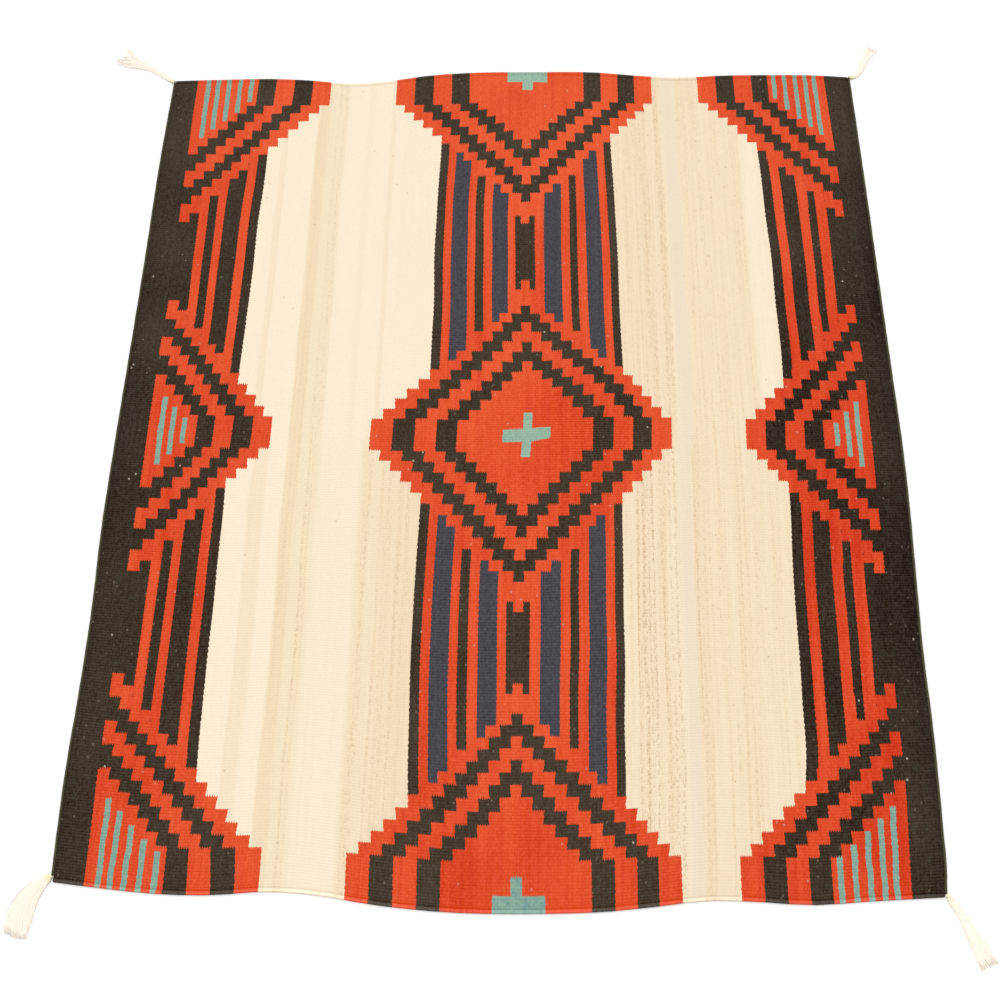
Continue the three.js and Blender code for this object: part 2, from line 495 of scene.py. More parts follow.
# Streaks in the cream bands, where a batch of yarn was darker or lighter. Each stop: how far across the
# rug at its middle height, in millimetres, and how tan, how brown and how grey the yarn is there.
LEFT_UPPER = [
    (-440, 0.02, 0, 0), (-402, 0.05, 0, 0), (-399, 0.38, 0, 0), (-391, 0.42, 0, 0),
    (-388, 0.05, 0, 0), (-342, 0.02, 0, 0), (-337, 0.90, 0, 0), (-322, 0.85, 0, 0),
    (-318, 0.50, 0, 0), (-308, 0.42, 0, 0), (-304, 0.60, 0.22, 0), (-300, 0.42, 0.05, 0),
    (-294, 0.58, 0.22, 0), (-288, 0.35, 0, 0), (-286, 0.05, 0, 0), (-252, 0.04, 0, 0),
    (-247, 0.20, 0, 0), (-241, 0.16, 0, 0), (-238, 0.04, 0, 0), (-209, 0.06, 0, 0),
    (-206, 0.42, 0, 0), (-200, 0.38, 0, 0), (-198, 0.08, 0, 0), (-150, 0.10, 0, 0),
    (-110, 0.08, 0, 0),
]
LEFT_LOWER = [
    (-440, 0.06, 0, 0), (-393, 0.06, 0, 0), (-390, 0.48, 0, 0), (-370, 0.42, 0, 0),
    (-366, 0.05, 0, 0), (-342, 0.04, 0, 0), (-337, 0.88, 0, 0), (-322, 0.80, 0, 0),
    (-317, 0.50, 0, 0), (-306, 0.45, 0, 0), (-304, 0.80, 0.30, 0), (-302, 0.70, 0.30, 0),
    (-300, 0.55, 0, 0), (-296, 0.65, 0.14, 0), (-293, 0.50, 0, 0), (-288, 0.35, 0, 0),
    (-285, 0.20, 0, 0), (-250, 0.10, 0, 0), (-226, 0.12, 0, 0), (-217, 0.62, 0, 0),
    (-211, 0.82, 0.15, 0), (-206, 0.65, 0.20, 0), (-200, 0.56, 0, 0), (-190, 0.52, 0, 0),
    (-187, 0.90, 0.20, 0), (-182, 0.62, 0, 0), (-175, 0.80, 0.15, 0), (-163, 0.70, 0, 0),
    (-157, 1.00, 0.25, 0), (-151, 0.78, 0, 0), (-145, 0.95, 0.12, 0), (-139, 0.80, 0, 0),
]
RIGHT_UPPER = [
    (170, 0.75, 0, 0), (196, 0.72, 0, 0), (205, 0.80, 0, 0), (225, 0.82, 0, 0),
    (243, 0.90, 0.10, 0), (250, 0.70, 0, 0), (260, 0.66, 0, 0), (263, 0.80, 0.34, 0),
    (267, 1.00, 0.10, 0), (270, 0.85, 0, 0), (273, 0.60, 0.20, 0), (276, 0.45, 0, 0),
    (280, 0.20, 0, 1), (300, 0.20, 0, 1), (302, 0.62, 0, 0), (318, 0.66, 0, 0), (336, 0.60, 0, 0),
    (338, 0.60, 0.22, 0), (340, 0.58, 0, 0), (350, 0.62, 0, 0), (356, 0.72, 0, 0),
    (362, 0.60, 0, 0), (400, 0.66, 0, 0), (407, 0.56, 0, 0), (414, 0.18, 0, 0), (422, 0.08, 0, 0),
    (450, 0.30, 0, 0),
]
RIGHT_LOWER = [
    (170, 0.62, 0, 0), (204, 0.60, 0, 0), (206, 0.90, 0.35, 0), (212, 0.66, 0, 0),
    (215, 0.66, 0.50, 0), (218, 0.80, 0.40, 0), (221, 0.68, 0, 0), (223, 0.64, 0.50, 0),
    (226, 0.60, 0, 0), (230, 0.60, 0.62, 0), (233, 0.58, 0, 0), (241, 0.62, 0, 0),
    (244, 0.92, 0.20, 0), (249, 0.88, 0.10, 0), (253, 0.60, 0, 0), (256, 0.58, 0.38, 0),
    (260, 0.56, 0, 0), (265, 0.56, 0.50, 0), (269, 0.45, 0, 0), (277, 0.20, 0, 1),
    (290, 0.20, 0, 1), (293, 0.90, 0, 0), (297, 1.00, 0.10, 0), (304, 0.88, 0, 0),
    (312, 0.70, 0, 0), (330, 0.62, 0, 0), (333, 0.84, 0, 0), (337, 0.62, 0, 0), (352, 0.60, 0, 0),
    (358, 0.84, 0, 0), (369, 0.82, 0, 0), (376, 0.62, 0, 0),
]

# Stripes, counted in steps from the rug's edge for the borders and from its middle for the middle band.
# Columns: a stripe's start and end on the left, its start and end on the right, and for the borders how
# much wider it gets beside the diamonds' steps, or for the band the row of a diamond where it begins.
RED_STRIPES = [
    (2.0, 3.0, 2.0, 3.2, 0.0),
    (4.0, 5.0, 4.1, 5.15, 0.1),
    (7.0, 8.0, 6.85, 7.9, 0.0),
]
DARK_STRIPES = [
    (8.6, BAND_STEPS, 8.68, BAND_STEPS, 5.0),
    (4.47, 5.35, 4.7, 5.45, 9.0),
]
BLUE_STRIPES = [
    (7.0, 7.8, 7.0, 7.85, 6.0),
    (6.12, 7.0, 6.32, 7.0, 7.0),
    (2.8, 3.57, 2.95, 3.85, 10.0),
    (1.87, 2.8, 2.03, 2.95, 11.0),
]

# Grey-green bars of the side diamonds. Columns: steps from the border's edge to the bar's middle, then
# how many rows it reaches at the far corners, the near left corner, the near right corner and the side's
# own middle.
BAR_HALF = 0.26
BARS = [
    (1.25, 4.0, 3.46, 4.0, 1.8),
    (2.37, 3.0, 2.46, 3.0, 0.8),
    (3.58, 2.0, 1.39, 2.0, -0.35),
    (4.9, 0.9, 0.42, 0.9, None),
    (6.23, -0.5, -0.37, 0.02, None),
]


def woven_wool():
    m = Maker("woven_wool", roughness=1.0, specular=0.05)
    across, rib_place, furrow_shade_strength = m.attribute("weave")
    p, q, _ = m.attribute("chart")
    red_depth, black_depth, teal_depth = m.attribute("dye")
    up = rib_place * RIB_PITCH + FIRST_RIB

    # One bead of weft: every second weft shows on each rib, and the ribs take turns
    rib = rib_place.floor()
    in_rib = rib_place - rib
    turn_over = rib.odd() * 0.5
    bead_place = across / BEAD + turn_over
    bead = bead_place.floor()
    in_bead = bead_place - bead
    weft = (across / BEAD).floor()
    bead_tone = m.chance(bead, rib)

    # Where two colours meet along a rib they dovetail
    p = p + (in_bead * -1.0 + 0.5) * BEAD_STAIR
    pair = across / (2 * BEAD)
    pair_tone = m.chance(pair.floor(), (rib / 3.0).floor(), 6.0)
    wave = (pair - pair.floor() - 0.5).abs() * 2.0
    q = q + (in_rib * -1.0 + 0.5) * RIB_STAIR
    q = q + (wave - 0.5) * (pair_tone * 2.4 + 1.0)

    # Steps counted from the tips of the diamonds
    on_right = (p - MIDDLE).over(0.0)
    aside = (p - MIDDLE).abs() / COLUMN
    side = ((p - SIDES_MIDDLE).abs() * -1.0 + SIDES_EDGE) / COLUMN
    height = q.abs()
    corner_rows = (height * -1.0 + CORNER_LINE) / ROW
    middle_rows = (height - TIP_HALF) / ROW
    corner_k = corner_rows.ceil().op("MAXIMUM", 0.0)
    middle_k = middle_rows.ceil().op("MAXIMUM", 0.0)
    rows = corner_rows.op("MINIMUM", middle_rows)
    least_k = corner_k.op("MINIMUM", middle_k)
    lean = (rows - rows.floor() - 0.5) * rows.over(0.0) * STEP_LEAN
    centre_step = (aside - 0.5 - lean).ceil().op("MAXIMUM", 0.0) * -1.0
    centre_ring = centre_step + DIAMOND_STEPS - least_k
    side_step = (side - lean).op("MAXIMUM", 0.0).floor() * -1.0
    side_ring = (side_step + DIAMOND_STEPS - corner_k).op("MAXIMUM", side_step + SIDE_STEPS - middle_k)
    on_side = side.over(0.0)
    ring = centre_ring.op("MAXIMUM", side_ring * on_side + on_side.inverse() * -20.0)

    in_diamond = ring.over(-0.5)
    dark_ring = ring.between(1.5, 3.5) + ring.between(5.5, 7.5)
    outside = in_diamond.inverse()

    def by_side(left, right):
        return on_right * (right - left) + left

    def stripe(place, start_left, end_left, start_right, end_right, wider=0.0):
        return place.between(by_side(start_left, start_right) - wider, by_side(end_left, end_right))

    # Stripes of the borders
    near_border = side.under(BORDER_STEPS)
    by_steps = ring.over(-3.5) * on_right
    border_red = added([stripe(side, *ends, by_steps * wider) for *ends, wider in RED_STRIPES])
    border_dark = near_border * border_red.inverse() * outside

    # Stripes of the middle band, and the dark bar on its middle line, which is notched at its ends
    band = aside.under(BAND_STEPS)
    notch = aside.under(0.45) * rows.under(14.7)
    middle_bar = aside.under(1.07) * rows.over(13.8) * notch.inverse()
    dark_stripes = [stripe(aside, *ends) * rows.over(row) for *ends, row in DARK_STRIPES]
    band_dark = added([*dark_stripes, middle_bar])
    band_navy = added([stripe(aside, *ends) * rows.over(row) for *ends, row in BLUE_STRIPES])

    # Grey-green bars in the side diamonds
    bar_sway = m.noise(rib_place / 9.0, side.floor(), 31.0, detail=1.0) - 0.5
    bar_side = side + bar_sway * 0.34
    near = q.under(0.0)
    bars = []
    for middle, far_rows, near_left, near_right, side_rows in BARS:
        wide = (bar_side - middle).abs().under(BAR_HALF)
        ends = near * (by_side(near_left, near_right) - far_rows) + far_rows
        tall = (corner_rows - ends).under(0.0)
        if side_rows is not None:
            tall = tall.op("MAXIMUM", middle_rows.under(side_rows))
        bars.append(wide * tall)

    # Grey-green crosses; the middle one stands askew
    right_arm = (p - 34.0).op("MAXIMUM", 0.0)
    cross = (
        p.between(-7.5, 66.0) * (q - right_arm * 0.1).under(9.6) * (q - right_arm * 0.2).over(-12.2)
        + (p - q * 0.007).between(22.8, 36.8) * q.between(-37.0, 37.0)
        + p.between(-8.0, 64.0) * q.over(678.0)
        + p.between(19.0, 38.0) * q.over(660.0)
        + p.between(-5.0, 68.0) * q.under(-679.0)
        + p.between(20.0, 36.0) * q.under(-657.5)
    )

    cream_at = outside * near_border.inverse() * band.inverse()
    dark_at = (dark_ring + border_dark + band_dark).op("MINIMUM", 1.0)
    navy_at = band_navy * dark_ring.inverse()
    teal_at = (added(bars) + cross).op("MINIMUM", 1.0)

    # Yarn: each bead, each weft and each batch has its own small share of light and dark
    weft_tone = m.chance(weft, (rib / 57.0).floor())
    weft_fine = m.noise(across / 4.0, rib_place * 0.014, 3.0, detail=3.0) - 0.5
    grain = m.noise(across / 2.4, rib_place / 1.1, 8.0, detail=3.0) - 0.5
    mottle = m.noise(across / 9.0, rib_place / 2.6, 12.0, detail=2.0) - 0.5
    crest = (in_rib * math.pi).op("SINE")
    # The furrow mask is where painted shade is put between the ribs
    furrow = crest.inverse().op("POWER", 1.6)

    # Cream, with the streaks of its batches; darker fibres show in single beads
    wander = m.noise(up / 120.0, across / 90.0, 0.0, detail=1.0) * 5.0 - 2.5
    upper = m.ramp(up, -50.0, 20.0, 0.0, 1.0)
    left = m.mix(upper, m.stops(across + wander, LEFT_LOWER), m.stops(across + wander, LEFT_UPPER))
    right = m.mix(upper, m.stops(across + wander, RIGHT_LOWER), m.stops(across + wander, RIGHT_UPPER))
    on_right_band = across.over(700.0)
    tan, brown, grey = m.parts(m.mix(on_right_band, left, right))
    speck = m.chance((across / 2.4).floor(), (rib_place / 0.7).floor(), 4.0)
    flecks = brown * 0.9 + tan * (weft_fine * 0.8 + weft_tone * 0.14 + 0.08) * (on_right_band * 0.6 + 0.7)
    flecks = (bead_tone - 1.0 + flecks * 1.6).clamped() * (crest * 0.7 + 0.3)
    busy = on_right_band * 0.25 + tan * 0.45 + 0.15
    tan_yarn = tan + (weft_fine * 1.3 + (weft_tone - 0.5) * 0.3 + mottle * 0.35) * busy
    cream = m.mix(tan_yarn.clamped(), CREAM, TAN)
    cream = m.mix(grey * 0.6, cream, GREY_CREAM)
    cream = m.mix((flecks + speck.over(0.9996) * 0.5).clamped(), cream, BROWN)

    batch = m.noise(across / 11.0, rib_place * 0.012, 21.0, detail=2.0) - 0.5
    red_tone = red_depth + weft_fine * 0.5 + batch * 0.9 + (weft_tone - 0.5) * 0.18 + mottle * 0.4
    red = m.mix(red_tone.clamped(), RED, DEEP_RED)
    red = m.mix(speck.over(0.9992) * 0.35, red, LINT)
    lint = speck.over(0.9965) * 0.16 + speck.over(0.99965) * 0.6
    black = m.mix(black_depth.clamped(), PALE_BLACK, DEEP_BLACK)
    black = m.mix((mottle * 2.4 + batch * 1.5 + 0.2).clamped() * 0.32, black, OLIVE)
    black = m.mix(lint, black, LINT)
    teal_share = teal_depth + added(bars) * (teal_depth * -1.0 + 0.56) + mottle * 1.2 + weft_fine * 0.9
    teal = m.mix(teal_share.clamped(), TEAL, DARK_TEAL)

    colour = m.mix(cream_at, red, cream)
    colour = m.mix(navy_at, colour, NAVY)
    colour = m.mix(dark_at, colour, black)
    colour = m.mix(teal_at, colour, teal)

    # Light and dark, as random yarn tone and as painted shade in the rib furrows: hardly any in the
    # cream, more in the dyed yarns, and most on the dark ones
    dyed = cream_at.inverse()
    dark = dark_at + navy_at
    # Painted shade in the rib furrows, stronger in the dyed yarns
    painted_furrow_shade = furrow * furrow_shade_strength * (dyed * -0.070 - 0.014)
    beaded = (bead_tone - 0.5) * (dyed * 0.06 + 0.02)
    grained = grain * (dyed * 0.20 + dark * 0.06 + teal_at * 0.12 + tan * cream_at * 0.06 + 0.04)
    mottled = (weft_fine * 0.13 + mottle * 0.09) * dyed

    # Selvages: a painted highlight on the roll, and painted shade in the furrow beside it and on the
    # roll's outer side
    from_end = (rib_place - RIBS / 2).abs() - RIBS / 2
    # Painted highlight along the roll's crest
    roll = m.ramp((from_end - 0.24).abs(), 0.06, 0.20, 1.0, 0.0)
    # Painted shade in the groove beside the roll
    groove = m.ramp((from_end + 0.3).abs(), 0.05, 0.4, 1.0, 0.0)
    at_near = rib_place.under(100.0)
    # The painted highlight is strongest along the near edge; the outer side gets painted shade
    painted_selvage_light = roll * (at_near * 0.13 + 0.04) - groove * 0.10 - from_end.over(0.42) * 0.12
    # One factor on the colour: painted shade and highlight, with the random tone of beads, grain and
    # mottle
    light = painted_furrow_shade + beaded + grained + mottled + painted_selvage_light + 1.015

    # Dark yarn takes the painted shade and the random tone as well as pale yarn does: the colours are
    # lifted while they are shaded, so light and dark come out as a neutral grey, partly pale fuzz on the
    # fibres and partly painted sheen
    lifted = m.vector("ADD", colour, SHADE_LIFT)
    shaded = m.vector("SCALE", lifted, light)
    shaded = m.vector("SUBTRACT", shaded, SHADE_LIFT)
    shaded = m.vector("MAXIMUM", shaded, DARKEST)

    fuzz = m.noise(across / 0.5, rib_place * 6.0, 0.0, detail=2.0)
    bump = (in_bead * math.pi).op("SINE") * 0.4 + fuzz * 0.35 + bead_tone * 0.2
    return m.finish(shaded, bump, strength=0.7)


# The cloth


def ribs_part(ribs, height):
    """Rows of points along the ribs: places, heights, rib numbers, shares across, and lumps."""
    columns = COLUMNS + 1
    gap_share = SELVAGE_WIDE / CLOTH_LONG
    v = gap_share + ribs / RIBS * (1 - 2 * gap_share)
    uu, vv = np.meshgrid(np.linspace(0, 1, columns), v)
    x, y = cloth_place(uu, vv)

    # The ribs sway by up to a millimetre and rise in low lumps, but not beside the selvages
    calm = np.clip(np.minimum(vv, 1 - vv) * 30, 0, 1)
    sway = 0.55 * np.sin(x / 61 + y / 37) + 0.45 * np.sin(x / 97 - y / 53 + 1.3)
    y = y + sway * calm
    z = height(ribs - np.floor(ribs))[:, None] + 0 * x
    lumps = 0.16 * np.sin(x / 23 + y / 91 + 0.7) + 0.12 * np.sin(x / 41 - y / 29)
    return x, y, z, np.repeat(ribs[:, None], columns, axis=1), uu, lumps * calm


def top_height(phase):
    valley = CLOTH_THICK - RIB_DEPTH
    return valley + (CLOTH_THICK - valley) * np.abs(np.sin(np.pi * phase)) ** RIB_ROUND


def back_height(phase):
    return RIB_DEPTH * (1 - np.abs(np.sin(np.pi * phase)) ** RIB_ROUND)


def dye_shares(x, y):
    """How deep each dye is at a place on the rug, and how strong the painted shade in its rib furrows is
    there.
    """
    low_middle = 0.35 * np.clip(1 - (np.abs(x - 28) + np.abs(y + 690)) / 200, 0, 0.6)
    on_left, on_right = np.clip((-150 - x) / 150, 0, 1), np.clip((x - 270) / 120, 0, 1)
    far, low = np.clip((y - 150) / 450, 0, 1), np.clip((-y - 350) / 300, 0, 1)
    red_depth = 0.34 + 0.05 * on_left + 0.3 * on_right * (1 - 0.6 * far) - 0.2 * far
    red_depth = red_depth + low_middle + 0.18 * soft_noise(x, y, 130) + 0.12 * soft_noise(x, y, 45)
    sides = (0.3 * on_left + 0.58 * on_right) * (1 - 0.85 * far) * (1 - 0.3 * low)
    black_depth = 0.3 + sides - 0.12 * far - 0.14 * low + 0.18 * soft_noise(x, y, 90)
    teal_depth = np.clip(0.15 - y / 1300, 0, 0.6) + 0.12 * soft_noise(x, y, 40)

    # The painted shade in the rib furrows is stronger towards the near edge, and strongest where the
    # cloth is drawn in near its middle
    drawn_in = np.exp(-(((x - 110) / 90) ** 2) - ((y - 10) / 70) ** 2)
    furrow_shade_strength = np.clip(0.8 - y / 2800 + 0.25 * soft_noise(x, y, 60) + 1.1 * drawn_in, 0.2, 2.0)
    return red_depth, black_depth, teal_depth, furrow_shade_strength


def point_data(mesh, name, x, y, z):
    data = mesh.attributes.new(name, "FLOAT_VECTOR", "POINT")
    data.data.foreach_set("vector", np.stack([x, y, z], axis=1).ravel())


def build_cloth():
    """A closed sheet: rows follow the ribs, and its long edges roll over as selvages."""
    half = SELVAGE_HIGH / 2
    columns = COLUMNS + 1
    u = np.linspace(0, 1, columns)
    ribs_top = np.arange(0, RIBS * TOP_ROWS_PER_RIB + 1) / TOP_ROWS_PER_RIB
    ribs_back = np.arange(0, RIBS * BACK_ROWS_PER_RIB + 1) / BACK_ROWS_PER_RIB

    low = np.array(cloth_place(u, np.zeros(columns)))
    high = np.array(cloth_place(u, np.ones(columns)))

    tx, ty, tz, tr, tu, lumps = ribs_part(ribs_top, top_height)
    tz = np.maximum(tz + lumps * 0.8, 1.2)
    bx, by, bz, br, bu, _ = ribs_part(ribs_back, back_height)

    def roll_rows(edge, inner, sign, groove_rib, over):
        """Rows round a selvage from its outer middle to its groove, on top (over) or underneath."""
        rows = []
        for angle in (ROLL_TOP if over else ROLL_BACK):
            a = math.radians(angle)
            share = (1 - math.cos(a)) / 2
            x = edge[0] + (inner[0] - edge[0]) * share
            y = edge[1] + (inner[1] - edge[1]) * share
            z = half + half * math.sin(a) * (1 if over else -1)
            rib = groove_rib - sign * 0.5 * (1 - angle / 180)
            rows.append((x, y, np.full(columns, z), np.full(columns, rib), u))
        return rows

    near_top = roll_rows(low, np.array([tx[0], ty[0]]), 1, 0, True)
    far_top = roll_rows(high, np.array([tx[-1], ty[-1]]), -1, RIBS, True)[::-1]
    near_back = roll_rows(low, np.array([bx[0], by[0]]), 1, 0, False)
    far_back = roll_rows(high, np.array([bx[-1], by[-1]]), -1, RIBS, False)[::-1]

    def stack(first, x, y, z, r, uu, last):
        rows = first + [(x[i], y[i], z[i], r[i], uu[i]) for i in range(len(x))] + last
        return [np.array([row[k] for row in rows]) for k in range(5)]

    top = stack(near_top, tx, ty, tz, tr, tu, far_top)
    back = stack(near_back, bx, by, bz, br, bu, far_back)
    top_rows, back_rows = len(top[0]), len(back[0])
    fields = [np.concatenate([t.ravel(), b.ravel()]) for t, b in zip(top, back)]
    x, y, z, r, uu = fields
    offset = top_rows * columns

    def grid(rows, start, flip):
        i = np.arange(rows - 1)[:, None] * columns + np.arange(columns - 1)[None, :] + start
        quad = np.stack([i, i + 1, i + columns + 1, i + columns], axis=-1).reshape(-1, 4)
        return quad[:, ::-1] if flip else quad

    quads = [grid(top_rows, 0, False), grid(back_rows, offset, True)]
    # The back's first and last rows join the selvages' outer rows
    across = np.arange(columns)
    top_first, top_last = across, (top_rows - 1) * columns + across
    back_first, back_last = offset + across, offset + (back_rows - 1) * columns + across
    near_side = [back_first[:-1], back_first[1:], top_first[1:], top_first[:-1]]
    far_side = [top_last[:-1], top_last[1:], back_last[1:], back_last[:-1]]
    quads += [np.stack(near_side, axis=-1), np.stack(far_side, axis=-1)]
    quads = np.concatenate(quads)

    # The short ends, between the top's rows and the back's
    triangles = []
    for column, flip in ((0, False), (columns - 1, True)):
        upper = np.arange(top_rows) * columns + column
        lower = offset + np.arange(back_rows) * columns + column
        i = j = 0
        while i < top_rows - 1 or j < back_rows - 1:
            next_up = y[upper[i + 1]] if i < top_rows - 1 else np.inf
            next_low = y[lower[j + 1]] if j < back_rows - 1 else np.inf
            if next_up <= next_low:
                face = (upper[i], upper[i + 1], lower[j])
                i += 1
            else:
                face = (upper[i], lower[j + 1], lower[j])
                j += 1
            triangles.append(face[::-1] if flip else face)

    faces = [tuple(int(k) for k in face) for face in [*quads, *triangles]]
    mesh = bpy.data.meshes.new("rug_weave")
    mesh.from_pydata(np.stack([x, y, z], axis=1) * MM, [], faces)
    p, q = chart_place(x, y)
    p = p + 1.1 * soft_noise(x, y, 95)
    q = q + 1.3 * soft_noise(x, y, 80)
    red_depth, black_depth, teal_depth, furrow_shade_strength = dye_shares(x, y)
    point_data(mesh, "weave", uu * CLOTH_WIDE, r, furrow_shade_strength)
    point_data(mesh, "chart", p, q, 0 * q)
    point_data(mesh, "dye", red_depth, black_depth, teal_depth)
    layer = mesh.uv_layers.new(name="OFBake")
    corners = np.zeros(len(mesh.loops), np.int32)
    mesh.loops.foreach_get("vertex_index", corners)
    reach = (r + 1) / (RIBS + 2)
    layer.data.foreach_set("uv", np.stack([uu[corners], reach[corners]], axis=1).ravel())
    mesh.polygons.foreach_set("use_smooth", np.ones(len(mesh.polygons), bool))
    mesh.validate()
    mesh.update()
    cloth = bpy.data.objects.new("rug_weave", mesh)
    bpy.context.scene.collection.objects.link(cloth)
    return cloth


cloth = build_cloth()
cloth.data.materials.append(woven_wool())
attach(cloth, "root")
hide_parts("rug_cloth")

# The end cords and the tassels

CORD_PITCH = 9.0
CORD_STEP = 1.5
PLIES = 3
PLY_SIDES = 6
PLY_RADIUS = 1.08
PLY_OFFSET = 0.95
STRAND_SIDES = 4
STRAND_STEPS = 18
BUNDLE_SIDES = 16
BUNDLE_LONG = 0.9
BUNDLE_WIDE = 0.94
BUNDLE_HIGH = 1.3
LOOSE_EVERY = 7
LOOSE_RADIUS = 0.16
KNOT_TURNS = 2.6
KNOT_STEPS = 52
KNOT_SIDES = 8
KNOT_YARN = 0.95
KNOT_WIDE = 2.1
KNOT_HIGH = 3.2

# Each tassel's knot, up the rug
KNOTS = {
    "tassel_top_left": (-1, 679),
    "tassel_top_right": (1, 698),
    "tassel_bottom_left": (-1, -687),
    "tassel_bottom_right": (1, -690),
}
# Each tassel's yarns: how many strands, how high, and its middle line's places (x, y, half its width)
YARNS = {
    "tassel_top_left": [
        (46, 3.0, [
            (-609, 679, 1.6), (-616, 684, 3.0), (-636, 698, 3.2), (-655, 708, 3.2),
            (-676, 714, 3.4), (-697, 717, 3.6), (-716, 724, 4.2),
        ]),
        (46, 3.4, [
            (-609, 679, 1.6), (-617, 686, 3.0), (-638, 701, 3.2), (-657, 712, 3.2),
            (-678, 720, 3.4), (-700, 726, 3.8), (-721, 731, 4.4),
        ]),
        (40, 3.2, [
            (-609, 680, 1.6), (-618, 688, 2.6), (-640, 704, 3.0), (-660, 716, 3.0),
            (-678, 725, 3.2), (-694, 733, 3.4), (-712, 741, 4.4),
        ]),
        (34, 3.0, [
            (-609, 680, 1.4), (-619, 690, 2.4), (-642, 706, 2.6), (-662, 718, 2.8),
            (-679, 730, 3.0), (-692, 743, 3.2), (-704, 757, 3.4),
        ]),
    ],
    "tassel_top_right": [
        (270, 2.4, [
            (609, 697, 2.0), (617, 702, 4.4), (625, 711, 5.6), (632, 725, 6.4), (641, 745, 7.6),
            (657, 766, 9.5),
        ]),
    ],
    "tassel_bottom_left": [
        (380, 2.4, [
            (-611, -688, 4.0), (-621, -695, 7.4), (-633, -710, 12.0), (-641, -726, 15.5),
            (-646, -745, 17.5), (-647, -768, 15.0),
        ]),
    ],
    "tassel_bottom_right": [
        (300, 2.4, [
            (612, -691, 2.4), (619, -701, 4.6), (629, -717, 5.6), (637, -734, 7.4),
            (645, -752, 9.5), (657, -780, 13.0),
        ]),
    ],
}

# How much longer each tassel's strands are on one side than in its middle, as a share
TIP_SLANT = {
    "tassel_top_left": 0.0,
    "tassel_top_right": -0.02,
    "tassel_bottom_left": 0.07,
    "tassel_bottom_right": 0.0,
}


def heading(x, y):
    """Unit vectors along a line of plan places."""
    ahead = np.stack([np.gradient(x), np.gradient(y)], axis=1)
    return ahead / np.linalg.norm(ahead, axis=1)[:, None]


def tube_faces(rings, sides, start):
    """Faces of a tube whose rings of points follow each other from a start number."""
    faces = []
    for i in range(rings - 1):
        for j in range(sides):
            a, b = start + i * sides + j, start + i * sides + (j + 1) % sides
            faces.append((a, b, b + sides, a + sides))
    faces.append(tuple(start + j for j in range(sides))[::-1])
    faces.append(tuple(start + (rings - 1) * sides + j for j in range(sides)))
    return faces


def ring_points(path, radii, sides):
    """Rings of points round a path; the radii may differ from step to step."""
    ahead = np.gradient(path, axis=0)
    ahead /= np.linalg.norm(ahead, axis=1)[:, None]
    up = np.array([0.0, 0.0, 1.0])
    side = np.cross(up, ahead)
    side /= np.maximum(np.linalg.norm(side, axis=1), 1e-6)[:, None]
    other = np.cross(ahead, side)
    turn = 2 * math.pi * (np.arange(sides) + 0.5) / sides
    radii = np.asarray(radii)[:, None, None]
    cosine, sine = np.cos(turn)[None, :, None], np.sin(turn)[None, :, None]
    spread = cosine * side[:, None, :] + sine * other[:, None, :]
    return (path[:, None, :] + radii * spread).reshape(-1, 3)


def mesh_object(name, points, faces, strand):
    """A piece of yarn work, with what its material needs about each strand."""
    mesh = bpy.data.meshes.new(name)
    mesh.from_pydata(np.asarray(points) * MM, [], faces)
    point_data(mesh, "strand", *np.asarray(strand, float).T)
    mesh.polygons.foreach_set("use_smooth", np.ones(len(mesh.polygons), bool))
    mesh.update()
    piece = bpy.data.objects.new(name, mesh)
    bpy.context.scene.collection.objects.link(piece)
    return piece


def build_end_cord(name, edge, outward, low, high):
    """Dark plies twisted round each other along one end of the rug."""
    steps = int((high - low) / CORD_STEP)
    y = np.linspace(low, high, steps)
    middle = edge(y) - outward * (2.1 + 0.1 * np.sin(y / 11.0) + 0.08 * np.sin(y / 4.7 + 1.0))
    points, faces, strand = [], [], []
    for ply in range(PLIES):
        turn = 2 * math.pi * (y / CORD_PITCH + ply / PLIES)
        x = middle + PLY_OFFSET * np.cos(turn)
        z = PLY_RADIUS + PLY_OFFSET + PLY_OFFSET * np.sin(turn)
        path = np.stack([x, y, z], axis=1)
        start = len(points) * steps * PLY_SIDES
        points.append(ring_points(path, np.full(steps, PLY_RADIUS), PLY_SIDES))
        faces += tube_faces(steps, PLY_SIDES, start)
        data = np.stack([y, turn, np.full(steps, float(ply))], axis=1)
        strand.append(np.repeat(data, PLY_SIDES, axis=0))
    return mesh_object(name, np.concatenate(points), faces, np.concatenate(strand))


